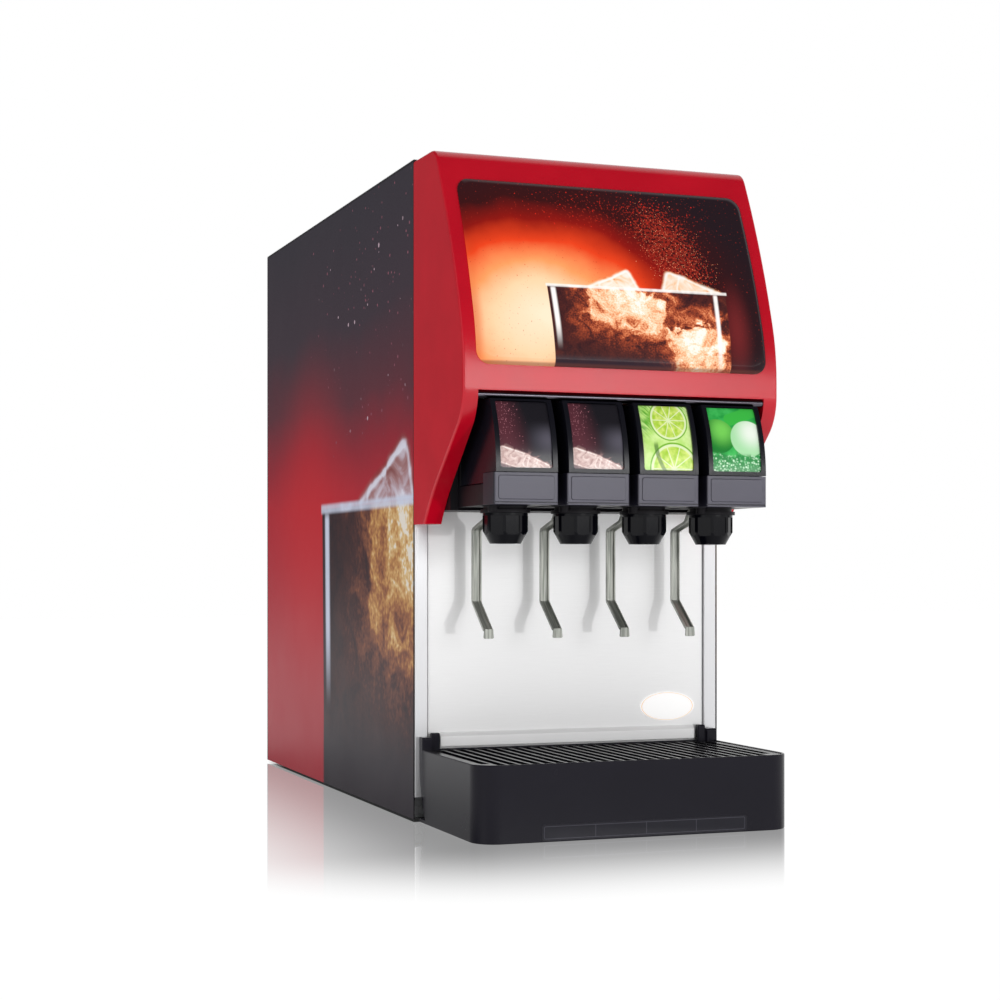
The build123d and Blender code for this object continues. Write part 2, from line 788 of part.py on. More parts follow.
def mains_inlet():
    """Power module: a recessed appliance inlet beside the window of its rocker switch."""
    x, z = power_centre
    width, height = power_half
    face = cabinet_depth + 2.5
    module = block((-32, 32), (cabinet_depth, face), (-15, 15))
    module += block((-width, width), (648, cabinet_depth), (-height, height))
    module -= block((-25, -1), (654.5, face), (-8, 8))
    for pin_x, pin_z in ((-20, 0), (-13, 3), (-6, 0)):
        module += block((pin_x - 1, pin_x + 1), (654.5, 667), (pin_z - 2.5, pin_z + 2.5))
    module -= block((rocker_x - 6.5, rocker_x + 6.5), (661.5, face), (-10, 10))
    module -= rod(pin_radius + running_gap, (rocker_x - 7.7, rocker_y, 0), 15.4, "X")
    return Pos(x, 0, z) * module


def rocker_switch():
    """Rocker with a shallow V front, on two stub pivots, tipped to its off side."""
    x, z = power_centre
    tilt = 8
    rise = rocker_half * sin(radians(tilt))
    outline = Polyline((-2.5, -4), (-2.5, 4), (1.5, rocker_half), (3 + rise, rocker_half),
                       (3, 0), (3 + rise, -rocker_half), (1.5, -rocker_half), close=True)
    rocker = across(make_face(outline), -6, 6)
    rocker += rod(pin_radius, (-7.4, 0, 0), 14.8, "X")
    return Pos(x + rocker_x, rocker_y, z) * Rot(-tilt, 0, 0) * rocker


def inlet_fittings():
    """Six hose stubs with their nuts: water, gas and four syrups."""
    fittings = []
    end = cabinet_depth + rear_reach
    for x in inlet_x:
        fitting = rod(5.9, (x, 655, inlet_z), 15, "Y")
        nut = extrude(Plane.XZ.offset(-cabinet_depth - 5) * RegularPolygon(9, 6), amount=5)
        fitting += Pos(x, 0, inlet_z) * nut
        fitting += rod(stub_radius, (x, cabinet_depth + 5, inlet_z), rear_reach - 5, "Y")
        fitting -= rod(2.5, (x, 655, inlet_z), end - 655, "Y")
        fittings.append(fitting)
    return Compound(children=fittings)


# ---- write every part -----------------------------------------------------------------------
mirrored_pair("side_panel", side_panel())
mirrored_pair("splash_post", splash_post())
for part_function in (
    top_lid, base_pan, back_panel, panel_screws, rubber_feet, splash_panel, splash_sill,
    head_shell, sign_lens, sign_light_box, sign_led_strips, valve_apron, valve_retaining_bar,
    drip_tray, drip_grille, water_bath_tank, tank_foam_jacket, evaporator_coil, product_coils,
    refrigeration_deck, agitator_motor, agitator_impeller, compressor, condenser, fan_motor, fan_blade,
    carbonator_tank, carbonator_pump, control_box, mains_inlet, rocker_switch, inlet_fittings,
):
    save(part_function.__name__, part_function())
write_valves()
write_valve_groups()
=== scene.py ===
import json
from math import cos, pi, radians, sin, sqrt

import bpy
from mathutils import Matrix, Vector


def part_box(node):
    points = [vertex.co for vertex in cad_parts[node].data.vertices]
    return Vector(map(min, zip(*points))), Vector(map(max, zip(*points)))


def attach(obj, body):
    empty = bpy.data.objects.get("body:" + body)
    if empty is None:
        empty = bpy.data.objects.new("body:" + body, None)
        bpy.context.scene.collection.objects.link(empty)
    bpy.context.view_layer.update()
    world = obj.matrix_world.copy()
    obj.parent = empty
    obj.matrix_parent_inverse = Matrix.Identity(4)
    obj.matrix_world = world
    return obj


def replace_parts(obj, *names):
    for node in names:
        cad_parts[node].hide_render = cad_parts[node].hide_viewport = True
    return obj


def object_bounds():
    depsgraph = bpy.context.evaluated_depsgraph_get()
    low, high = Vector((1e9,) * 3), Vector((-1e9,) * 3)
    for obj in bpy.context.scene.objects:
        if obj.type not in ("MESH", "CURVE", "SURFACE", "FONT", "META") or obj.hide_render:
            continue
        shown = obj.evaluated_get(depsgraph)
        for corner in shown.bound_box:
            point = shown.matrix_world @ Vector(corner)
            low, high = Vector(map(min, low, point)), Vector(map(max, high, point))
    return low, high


# Looks of the countertop soda dispenser. Metres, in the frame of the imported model: +Z up, the front
# towards -Y. Pictures on its surfaces are drawn by nodes, in millimetres from a corner of each picture.

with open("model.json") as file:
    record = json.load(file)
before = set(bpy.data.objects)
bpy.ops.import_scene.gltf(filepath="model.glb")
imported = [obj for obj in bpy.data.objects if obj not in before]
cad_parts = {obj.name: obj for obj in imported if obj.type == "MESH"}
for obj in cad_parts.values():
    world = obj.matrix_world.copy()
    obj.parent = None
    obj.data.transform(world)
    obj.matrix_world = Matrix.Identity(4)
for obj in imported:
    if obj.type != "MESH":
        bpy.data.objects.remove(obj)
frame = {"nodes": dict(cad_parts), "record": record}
cad_box = [list(corner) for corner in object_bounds()]

MM = 0.001
cabinet_low, cabinet_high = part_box("side_panel_left")
front = cabinet_low.y                       # plane of the cabinet's front
head_low, head_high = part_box("head_shell")
splash_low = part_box("splash_panel")[0]
sign_low, sign_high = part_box("sign_lens")
tray_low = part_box("drip_tray")[0]


# ---- drawing with nodes ---------------------------------------------------------------------
def shade(red, green, blue):
    """Linear colour of a screen colour given from 0 to 255."""
    channels = [value / 255 for value in (red, green, blue)]
    return tuple(c / 12.92 if c < 0.04045 else ((c + 0.055) / 1.055) ** 2.4 for c in channels)


class Field:
    """A number that a material works out at each point. Arithmetic on fields adds math nodes."""

    def __init__(self, paint, socket):
        self.paint = paint
        self.socket = socket

    def __add__(self, other):
        return self.paint.math("ADD", self, other)

    def __radd__(self, other):
        return self.paint.math("ADD", other, self)

    def __sub__(self, other):
        return self.paint.math("SUBTRACT", self, other)

    def __rsub__(self, other):
        return self.paint.math("SUBTRACT", other, self)

    def __mul__(self, other):
        return self.paint.math("MULTIPLY", self, other)

    def __rmul__(self, other):
        return self.paint.math("MULTIPLY", other, self)

    def __truediv__(self, other):
        return self.paint.math("DIVIDE", self, other)

    def __pow__(self, power):
        return self.paint.math("POWER", self, power)

    def __abs__(self):
        return self.paint.math("ABSOLUTE", self)

    def at_least(self, other):
        return self.paint.math("MAXIMUM", self, other)

    def at_most(self, other):
        return self.paint.math("MINIMUM", self, other)

    def rise(self, low, high):
        """0 below low, 1 above high, and smooth between."""
        node = self.paint.node("ShaderNodeMapRange", interpolation_type="SMOOTHSTEP")
        for name, value in (("Value", self), ("From Min", low), ("From Max", high)):
            self.paint.feed(node.inputs[name], value)
        return Field(self.paint, node.outputs["Result"])

    def fall(self, low, high):
        """1 below low, 0 above high, and smooth between."""
        return 1 - self.rise(low, high)


class Paint:
    """One material and short ways to build its nodes."""

    def __init__(self, name, **finish):
        self.material = bpy.data.materials.new(name)
        self.material.use_nodes = True
        self.tree = self.material.node_tree
        self.shader = self.tree.nodes["Principled BSDF"]
        self.finish(**finish)

    def node(self, kind, **settings):
        node = self.tree.nodes.new(kind)
        for name, value in settings.items():
            setattr(node, name, value)
        return node

    def feed(self, socket, value):
        """Give an input a field, another node's output or a plain value."""
        if isinstance(value, Field):
            value = value.socket
        if isinstance(value, bpy.types.NodeSocket):
            self.tree.links.new(value, socket)
        elif socket.type == "RGBA":
            socket.default_value = (*value, 1)
        else:
            socket.default_value = value

    def finish(self, **inputs):
        """Set inputs of the shader: base_color=..., roughness=... and so on."""
        for name, value in inputs.items():
            title = name.replace("_", " ").title().replace("Ior", "IOR")
            self.feed(self.shader.inputs[title], value)

    def math(self, operation, *values):
        node = self.node("ShaderNodeMath", operation=operation)
        for socket, value in zip(node.inputs, values):
            self.feed(socket, value)
        return Field(self, node.outputs[0])

    def place(self):
        """The point's x, y and z in the machine's frame, in millimetres."""
        coordinates = self.node("ShaderNodeTexCoord")
        split = self.node("ShaderNodeSeparateXYZ")
        self.feed(split.inputs[0], coordinates.outputs["Object"])
        return [Field(self, output) / MM for output in split.outputs]

    def point(self, x, y, z=0.0):
        node = self.node("ShaderNodeCombineXYZ")
        for socket, value in zip(node.inputs, (x, y, z)):
            self.feed(socket, value)
        return node.outputs[0]

    def scaled(self, point, size, stretch=(1, 1, 1)):
        node = self.node("ShaderNodeVectorMath", operation="DIVIDE")
        self.feed(node.inputs[0], point)
        node.inputs[1].default_value = [size * s for s in stretch]
        return node.outputs[0]

    def noise(self, size, point=None, detail=2.0, stretch=(1, 1, 1), swirl=0.0):
        """Cloudy noise from 0 to 1, with features of about this size. swirl crinkles it."""
        if point is None:
            point = self.point(*self.place())
        node = self.node("ShaderNodeTexNoise")
        self.feed(node.inputs["Vector"], self.scaled(point, size, stretch))
        node.inputs["Scale"].default_value = 1
        node.inputs["Detail"].default_value = detail
        node.inputs["Distortion"].default_value = swirl
        return Field(self, node.outputs["Fac"])

    def cells(self, size, point):
        """Distance from the nearest cell centre, and two random numbers of that cell."""
        node = self.node("ShaderNodeTexVoronoi")
        self.feed(node.inputs["Vector"], self.scaled(point, size))
        node.inputs["Scale"].default_value = 1
        split = self.node("ShaderNodeSeparateColor")
        self.feed(split.inputs[0], node.outputs["Color"])
        return [Field(self, output) for output in (node.outputs["Distance"], *split.outputs[:2])]

    def mix(self, share, under, over):
        """Lay colour over on colour under, as far as share says."""
        node = self.node("ShaderNodeMix", data_type="RGBA")
        colours = [socket for socket in node.inputs if socket.type == "RGBA"]
        self.feed(node.inputs[0], share)
        self.feed(colours[0], under)
        self.feed(colours[1], over)
        return [socket for socket in node.outputs if socket.type == "RGBA"][0]

    def ramp(self, value, *stops):
        """Colour that follows value through stops of (value, red, green, blue)."""
        node = self.node("ShaderNodeValToRGB")
        self.feed(node.inputs[0], value)
        elements = node.color_ramp.elements
        while len(elements) < len(stops):
            elements.new(1.0)
        for element, (position, *colour) in zip(elements, stops):
            element.position = position
            element.color = (*shade(*colour), 1)
        return node.outputs[0]

    def bump(self, height, depth):
        """Raise the surface by height times depth millimetres."""
        node = self.node("ShaderNodeBump")
        node.inputs["Distance"].default_value = depth * MM
        self.feed(node.inputs["Height"], height)
        self.feed(self.shader.inputs["Normal"], node.outputs["Normal"])


def ellipse(x, y, centre, radii):
    """0 at the centre of an ellipse and 1 on its outline."""
    across = (x - centre[0]) / radii[0]
    up = (y - centre[1]) / radii[1]
    return (across * across + up * up) ** 0.5


def slab(x, y, centre, size, corner, turn=0.0):
    """Distance outside a rounded rectangle, negative inside. turn is in degrees."""
    c, s = cos(radians(turn)), sin(radians(turn))
    dx, dy = x - centre[0], y - centre[1]
    over_x = abs(dx * c + dy * s) - (size[0] / 2 - corner)
    over_y = abs(dy * c - dx * s) - (size[1] / 2 - corner)
    out_x, out_y = over_x.at_least(0), over_y.at_least(0)
    outside = (out_x * out_x + out_y * out_y) ** 0.5
    return outside + over_x.at_least(over_y).at_most(0) - corner


def specks(paint, point, size, share):
    """Round specks, in as many of the cells as share says."""
    distance, chance, width = paint.cells(size, point)
    present = (share - chance).rise(0, 0.02)
    return present * (distance / (0.12 + 0.22 * width)).fall(0.7, 1.1)


# ---- pictures -------------------------------------------------------------------------------
def ice_field(blocks, u, v):
    """How much ice is at a point: inside the blocks, in a halo round them, and on their edges."""
    solid, halo, ridge = 0.0, 0.0, 0.0
    for centre, size, turn in blocks:
        block = slab(u, v, centre, size, 0.035, turn)
        far_side = (centre[0] + 0.16 * size[0], centre[1] - 0.22 * size[1])
        face = slab(u, v, far_side, (0.72 * size[0], 0.66 * size[1]), 0.03, turn)
        edge = (1 - abs(block + 0.012) / 0.012).rise(0, 1) + 0.7 * (1 - abs(face) / 0.009).rise(0, 1)
        lit_side = 0.62 + 0.38 * face.fall(-0.02, 0.03)
        solid = (block.fall(-0.03, 0.012) * lit_side).at_least(solid)
        halo = block.fall(-0.04, 0.20).at_least(halo)
        ridge = (edge * block.fall(-0.004, 0.004)).at_least(ridge)
    return solid, halo, ridge


def tumbler(paint, u, v, under, tones, cube_tones, light, blocks, cubes):
    """A straight glass of iced cola. u runs from wall to wall and v down from the rim."""
    point = paint.point(u, v)
    crinkle = paint.noise(0.085, point, detail=5, swirl=1.4)
    grain = paint.noise(0.009, point, detail=1)
    wander = paint.noise(0.16, paint.point(v, u), detail=3) - 0.5
    left = u - 0.03 * v
    right = 1 - u - 0.03 * v
    inside = left.rise(0, 0.004) * right.rise(0, 0.004) * v.rise(-0.002, 0.002)
    solid, halo, ridge = ice_field(blocks, u + 0.16 * wander, v + 0.14 * (crinkle - 0.5))
    glow = 0.44 * solid + 0.30 * halo + 0.26 * ridge * crinkle
    glow = glow + (1.25 * (crinkle - 0.5) + 0.5 * (grain - 0.5)) * (0.35 + 0.65 * halo)
    picture = paint.mix(inside, under, paint.ramp(glow + 0.10, *tones))

    solid, halo, ridge = ice_field(cubes, u, v + 0.03 * wander)
    shine = 0.30 + 0.35 * solid + 1.5 * (crinkle - 0.5) + 0.40 * ridge
    above = v.fall(-0.004, 0.0) * halo.rise(0.90, 0.97)
    picture = paint.mix(0.92 * above, picture, paint.ramp(shine, *cube_tones))

    for start, end, reach, wall in ((0.014, 0.052, 0.34, left), (0.046, 0.080, 0.44, right)):
        band = wall.rise(start, start + 0.012) * wall.fall(end - 0.014, end)
        length = v.rise(0.0, 0.02) * v.fall(reach - 0.16, reach)
        picture = paint.mix(band * length * (0.6 + crinkle).at_most(1), picture, light)
    lip = (1 - abs(v) / 0.011).rise(0, 0.7) * u.rise(-0.008, 0.0) * (1 - u).rise(-0.008, 0.0)
    return paint.mix(lip * (0.35 + 0.9 * crinkle).at_most(1), picture, light)


def sign_picture(paint, x, y):
    """Glass of iced cola in a fiery glow. x and y are millimetres from the sign's lower left corner."""
    point = paint.point(x, y)
    cloud = paint.noise(60, point, detail=3)
    grain = paint.noise(2.4, point, detail=2)
    glow = ellipse(x, y, (78, 52), (150, 104))
    corner = ellipse(x, y, (0, 0), (150, 130)).fall(0.2, 1.0)
    picture = paint.ramp(
        (glow + 0.25 * cloud - 0.14 - 0.10 * corner) / 2,
        (0.0, 255, 232, 202), (0.15, 255, 212, 168), (0.26, 255, 158, 96), (0.38, 232, 66, 28),
        (0.49, 138, 20, 14), (0.60, 56, 16, 18), (0.85, 34, 22, 28),
    )
    # painted highlight: a lighter orange band down the lower part of the lens's left bevel
    picture = paint.mix(0.6 * x.fall(0, 10) * y.fall(50, 140), picture, shade(216, 100, 48))
    spray = ellipse(x + 0.35 * (y - 110), y, (232, 122), (56, 78)).fall(0.15, 1.0)
    haze = ellipse(x, y, (165, 166), (160, 40)).fall(0.1, 1.0)
    spray = spray * (0.45 + 1.1 * paint.noise(14, point, detail=3))
    embers = (grain + 0.24 * spray + 0.08 * haze - 0.66).rise(0, 0.08)
    picture = paint.mix(0.6 * embers, picture, shade(168, 44, 30))
    for size, share, colour in ((2.1, 0.42 * spray, (206, 78, 50)), (1.4, 0.62 * spray, (250, 160, 118)),
                                (2.4, 0.34 * haze, (206, 40, 26))):
        picture = paint.mix(specks(paint, point, size, share), picture, shade(*colour))
    ember_glow = ellipse(x, y, (288, 44), (22, 66)).fall(0.0, 1.0)
    picture = paint.mix(0.55 * ember_glow, picture, shade(138, 44, 46))
    tones = ((0.0, 44, 24, 30), (0.20, 84, 38, 34), (0.36, 152, 66, 42), (0.5, 214, 118, 76),
             (0.64, 248, 178, 130), (0.82, 255, 222, 186), (1.0, 255, 248, 238))
    cube_tones = ((0.0, 150, 66, 40), (0.25, 226, 132, 84), (0.45, 255, 206, 164), (0.7, 255, 238, 220),
                  (1.0, 255, 252, 248))
    blocks = (((0.42, 0.11), (0.42, 0.22), 12), ((0.80, 0.31), (0.30, 0.26), -12))
    cubes = (((0.36, 0.04), (0.32, 0.20), -24), ((0.80, 0.03), (0.34, 0.20), 20))
    glass, glass_left, rim = 201, 79.5, 84
    picture = tumbler(paint, (x - glass_left) / glass, (rim - y) / glass, picture, tones, cube_tones,
                      shade(255, 250, 246), blocks, cubes)
    base = y.fall(4, 14) * x.rise(81, 84) * x.fall(206, 226)
    picture = paint.mix(0.85 * base, picture, shade(40, 30, 42))
    picture = paint.mix(0.6 * y.fall(2, 5), picture, shade(96, 50, 44))
    return water_drops(paint, x, y, picture, 46, 0.34)


def water_drops(paint, x, y, picture, size, share):
    """A few drops, each with a lit lower edge and a dark upper one."""
    distance, chance, width = paint.cells(size, paint.point(x, y + 17))
    radius = 0.035 + 0.03 * width
    ring = distance / radius
    present = (share - chance).rise(0, 0.01)
    outline = present * ring.fall(0.9, 1.1) * ring.rise(0.4, 0.8)
    picture = paint.mix(outline * 0.7, picture, shade(96, 44, 36))
    return paint.mix(present * ring.fall(0.35, 0.75), picture, shade(255, 236, 220))


def side_picture(paint, x, y):
    """Side print: dusk to red, with the same glass cut off by the front edge. x runs from the back."""
    height, depth = 700, 670
    point = paint.point(x, y)
    cloud = paint.noise(180, point, detail=3)
    picture = paint.ramp(
        (height - y) / height + 0.10 * cloud - 0.05,
        (0.0, 58, 54, 62), (0.20, 66, 55, 64), (0.33, 96, 50, 60), (0.42, 146, 38, 52),
        (0.50, 178, 36, 50), (1.0, 176, 46, 60),
    )
    glow = ellipse(x, y, (230, 320), (240, 250)).fall(0.1, 1.0)
    picture = paint.mix(0.5 * glow, picture, shade(208, 34, 44))
    upper = y.rise(330, 560) * x.rise(180, 480)
    for size, share, colour in ((6, 0.17 * upper, (144, 88, 102)), (9, 0.05 * upper, (190, 164, 176))):
        picture = paint.mix(specks(paint, point, size, share), picture, shade(*colour))
    tones = ((0.0, 40, 30, 38), (0.25, 74, 44, 44), (0.42, 114, 68, 54), (0.60, 156, 100, 66),
             (0.78, 196, 146, 88), (0.93, 222, 192, 140), (1.0, 230, 222, 210))
    cube_tones = ((0.0, 96, 52, 52), (0.35, 130, 78, 76), (0.6, 164, 126, 128), (0.8, 196, 184, 196),
                  (1.0, 222, 224, 238))
    blocks = (((0.46, 0.12), (0.38, 0.24), 12), ((0.80, 0.32), (0.30, 0.26), -14))
    cubes = (((0.35, 0.06), (0.36, 0.22), -20), ((0.82, 0.05), (0.36, 0.22), 16))
    glass, glass_left, rim = 740, 293, 341
    picture = tumbler(paint, (x - glass_left) / glass, (rim - y) / glass, picture, tones, cube_tones,
                      shade(206, 212, 232), blocks, cubes)
    foot = y.fall(40, 120) * x.rise(glass_left + 3, glass_left + 13)
    picture = paint.mix(foot, picture, shade(52, 46, 54))
    edge = (height - y).at_most(x).at_most(depth - x).fall(1.5, 4)
    return paint.mix(0.85 * edge, picture, shade(34, 32, 36))


def cola_card(paint, x, y):
    """Dark card: bubbles rising over a block of ice."""
    point = paint.point(x, y)
    side = (x + 0.25 * (y - 34)).fall(8, 40)
    picture = paint.mix(side, shade(30, 28, 34), shade(92, 46, 56))
    sheen = y.rise(8, 30) * y.fall(30, 50) * x.rise(26, 58)
    picture = paint.mix(0.45 * sheen, picture, shade(128, 124, 140))
    share = 0.85 * side * y.rise(18, 56)
    picture = paint.mix(specks(paint, point, 1.5, share), picture, shade(196, 124, 136))
    crinkle = paint.noise(7, point, detail=4, swirl=1.2)
    blocks = (((16, 11), (34, 18), -16), ((40, 4), (30, 14), -24))
    solid, halo, ridge = 0.0, 0.0, 0.0
    for centre, size, turn in blocks:
        ice = slab(x, y, centre, size, 4, turn)
        solid = ice.fall(-1.5, 0.8).at_least(solid)
        halo = ice.fall(0, 8).at_least(halo)
        ridge = (1 - abs(ice + 1.2) / 1.1).rise(0, 1).at_least(ridge)
    shine = 0.18 * halo + 0.52 * solid + 0.3 * ridge * crinkle + 1.0 * (crinkle - 0.5) * (0.3 + 0.7 * halo)
    frost = paint.ramp(shine, (0.0, 84, 64, 68), (0.35, 134, 98, 98), (0.6, 192, 154, 148),
                       (0.8, 232, 208, 202), (1.0, 252, 240, 236))
    return paint.mix((shine - 0.12).rise(0, 0.14) * halo, picture, frost)


def slice_of_lime(paint, x, y, picture, centre, radius):
    """A round slice: rind, pith and ten wedges of flesh."""
    reach = ellipse(x, y, centre, (radius, radius))
    angle = paint.math("ARCTAN2", y - centre[1], x - centre[0])
    wedge = abs(paint.math("SINE", angle * 5))
    pulp = paint.noise(1.6, paint.point(angle * 3, reach * 6), detail=3)
    flesh = paint.mix(pulp.rise(0.3, 0.7), shade(164, 212, 44), shade(226, 244, 128))
    membrane = (wedge * reach).fall(0.05, 0.16).at_least(reach.rise(0.82, 0.87))
    flesh = paint.mix(membrane * 0.85, flesh, shade(240, 252, 206))
    flesh = paint.mix(reach.rise(0.93, 0.96), flesh, shade(120, 190, 40))
    return paint.mix(reach.fall(0.99, 1.02), picture, flesh)


def lime_card(paint, x, y):
    """Lime slices over leaves."""
    point = paint.point(x, y)
    cloud = paint.noise(16, point, detail=3)
    picture = paint.mix(cloud.rise(0.35, 0.65), shade(190, 236, 120), shade(226, 252, 170))
    blades = paint.noise(3.2, paint.point(x + y, y - 0.4 * x), detail=2, stretch=(0.5, 4, 1))
    leaf = (y - 0.5 * x).rise(24, 48)
    picture = paint.mix(leaf * blades.rise(0.4, 0.6), picture, shade(88, 176, 44))
    picture = slice_of_lime(paint, x, y, picture, (36, 3), 27)
    shadow = (1 - abs(x - 17 - 0.012 * (y - 28) * (y - 28)) / 3.0).rise(0, 0.5) * y.fall(26, 32)
    picture = paint.mix(0.75 * shadow, picture, shade(74, 118, 52))
    return slice_of_lime(paint, x, y, picture, (34, 53), 21)


def fruit(paint, x, y, picture, centre, radius, dark, light):
    """A round apple, lit from the upper right."""
    reach = ellipse(x, y, centre, (radius, radius * 0.94))
    lit = ellipse(x, y, (centre[0] + radius * 0.25, centre[1] + radius * 0.35), (radius, radius))
    skin = paint.mix(lit.rise(0.1, 1.2), light, dark)
    return paint.mix(reach.fall(0.97, 1.02), picture, skin)


def apple_card(paint, x, y):
    """Green apples with leaves and crushed fruit."""
    point = paint.point(x, y)
    cloud = paint.noise(12, point, detail=4)
    picture = paint.mix(cloud.rise(0.3, 0.7), shade(34, 160, 66), shade(70, 200, 96))
    leaf = slab(x, y, (40, 60), (40, 12), 5.5, 18)
    picture = paint.mix(leaf.fall(-0.5, 0.5), picture, shade(60, 190, 70))
    picture = fruit(paint, x, y, picture, (11, 38), 19, shade(16, 130, 44), shade(120, 214, 90))
    picture = fruit(paint, x, y, picture, (45, 36), 20, shade(176, 232, 176), shade(246, 255, 242))
    crumbs, chance, _ = paint.cells(2.4, point)
    crushed = paint.mix(chance, shade(58, 176, 92), shade(214, 250, 216))
    crushed = paint.mix(crumbs.rise(0.25, 0.6), crushed, shade(24, 140, 62))
    bed = (y + 9 * cloud).fall(20, 26)
    return paint.mix(bed, picture, crushed)


# ---- materials ------------------------------------------------------------------------------
def shifted(colour, factor):
    return tuple(min(channel * factor, 1.0) for channel in colour)


def plastic(name, colour, roughness, grain=0.5, depth=0.012, **finish):
    """Moulded plastic: fine mould grain and slight clouds in colour and gloss."""
    paint = Paint(name, **finish)
    cloud = paint.noise(50, detail=3)
    paint.finish(base_color=paint.mix(cloud, shifted(colour, 0.86), shifted(colour, 1.14)),
                 roughness=roughness * (0.88 + 0.24 * cloud))
    paint.bump(paint.noise(grain, detail=1), depth)
    return paint.material


def brushed(name, colour, roughness, stretch=(60, 1, 1), depth=0.004, metallic=1.0):
    """Metal with fine parallel scratches along the stretched direction."""
    paint = Paint(name, metallic=metallic)
    lines = paint.noise(0.5, detail=3, stretch=stretch)
    cloud = paint.noise(90, detail=2)
    paint.finish(base_color=paint.mix(lines, shifted(colour, 0.93), shifted(colour, 1.05)),
                 roughness=roughness * (0.75 + 0.3 * lines + 0.2 * cloud))
    paint.bump(lines, depth)
    return paint.material


def coated(name, colour, roughness, peel=1.6, depth=0.02, **finish):
    """Powder coat or paint with its slight orange peel."""
    paint = Paint(name, **finish)
    cloud = paint.noise(120, detail=2)
    paint.finish(base_color=paint.mix(cloud, shifted(colour, 0.92), shifted(colour, 1.08)),
                 roughness=roughness * (0.9 + 0.2 * cloud))
    paint.bump(paint.noise(peel, detail=2), depth)
    return paint.material


def spangled(name, colour):
    """Zinc-coated steel with its crystal pattern."""
    paint = Paint(name, metallic=1.0)
    distance, chance, gloss = paint.cells(7, paint.point(*paint.place()))
    paint.finish(base_color=paint.mix(chance, shifted(colour, 0.8), shifted(colour, 1.15)),
                 roughness=0.35 + 0.25 * gloss)
    paint.bump(distance, 0.01)
    return paint.material


def foam(name, colour):
    paint = Paint(name)
    distance = paint.cells(1.4, paint.point(*paint.place()))[0]
    tint = paint.mix(distance, shifted(colour, 1.05), shifted(colour, 0.72))
    paint.finish(base_color=tint, roughness=0.9)
    paint.bump(distance, 0.4)
    return paint.material


def lamp(name, colour):
    """Lamp strip: white board with a yellow phosphor tint that glows."""
    paint = Paint(name, roughness=0.5, emission_strength=1.5)
    cloud = paint.noise(6, detail=2)
    tint = paint.mix(cloud.rise(0.4, 0.6), colour, shifted(colour, 0.9))
    paint.finish(base_color=tint, emission_color=tint)
    return paint.material


def printed(name, picture, left, low, **finish):
    """Glossy film with a picture, drawn from its lower left corner at (left, low), in metres."""
    paint = Paint(name, **finish)
    x, _, z = paint.place()
    paint.finish(base_color=picture(paint, x - left / MM, z - low / MM))
    paint.bump(paint.noise(3, detail=2), 0.006)
    return paint.material


def lit_sign(name):
    """Backlit print under clear plastic."""
    paint = Paint(name, roughness=0.14, base_color=(0.003, 0.003, 0.003), emission_strength=1.1,
                  specular_ior_level=0.09)
    x, _, z = paint.place()
    paint.finish(emission_color=sign_picture(paint, x - sign_low.x / MM, z - sign_low.z / MM))
    paint.bump(paint.noise(30, detail=1), 0.01)
    return paint.material


def side_print(name):
    """Film on the side sheets. The picture runs from the back edge to the front edge on both sides."""
    paint = Paint(name, roughness=0.32, specular_ior_level=0.06)
    _, y, z = paint.place()
    picture = side_picture(paint, cabinet_high.y / MM - y, z)
    paint.finish(base_color=picture, roughness=0.3 + 0.1 * paint.noise(70, detail=3))
    paint.bump(paint.noise(2.5, detail=2), 0.008)
    return paint.material


def polished(name, colour, roughness):
    """Polished stainless steel with faint drawing marks."""
    paint = Paint(name, metallic=1.0)
    marks = paint.noise(0.6, detail=2, stretch=(1, 1, 25))
    paint.finish(base_color=paint.mix(marks, shifted(colour, 0.9), shifted(colour, 1.06)),
                 roughness=roughness * (0.7 + 0.6 * marks))
    paint.bump(marks, 0.006)
    return paint.material


def lever_strip(name):
    """Cold-rolled steel strip: long streaks along its length, part bright and part dull."""
    paint = Paint(name, metallic=0.4)
    streaks = paint.noise(1.6, detail=2, stretch=(1, 30, 30))
    marks = paint.noise(0.4, detail=2, stretch=(1, 25, 25))
    paint.finish(base_color=paint.mix(streaks.rise(0.35, 0.65), (0.22, 0.23, 0.205), (0.44, 0.45, 0.41)),
                 roughness=0.24 + 0.16 * marks)
    paint.bump(marks, 0.006)
    return paint.material


def panel_plastic(name):
    """Valve panel: satin grey, with painted shade that darkens the groove round the raised plate and the
    sides.
    """
    paint = Paint(name)
    y = paint.place()[1]
    panel_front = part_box("access_panel_1")[0].y / MM
    facing = paint.node("ShaderNodeSeparateXYZ")
    paint.feed(facing.inputs[0], paint.node("ShaderNodeTexCoord").outputs["Normal"])
    # painted shade: the panel's sides and the groove round its raised plate are drawn near black
    shaded_sides = Field(paint, facing.outputs["Y"]).rise(-0.9, -0.6)
    painted_shade = (y - panel_front).rise(1.0, 1.4).at_least(shaded_sides)
    cloud = paint.noise(40, detail=3)
    satin = paint.mix(cloud, (0.055, 0.052, 0.074), (0.082, 0.078, 0.108))
    paint.finish(base_color=paint.mix(painted_shade, satin, (0.012, 0.011, 0.020)), roughness=0.26 + 0.10 * cloud)
    paint.bump(paint.noise(0.5, detail=1), 0.012)
    return paint.material


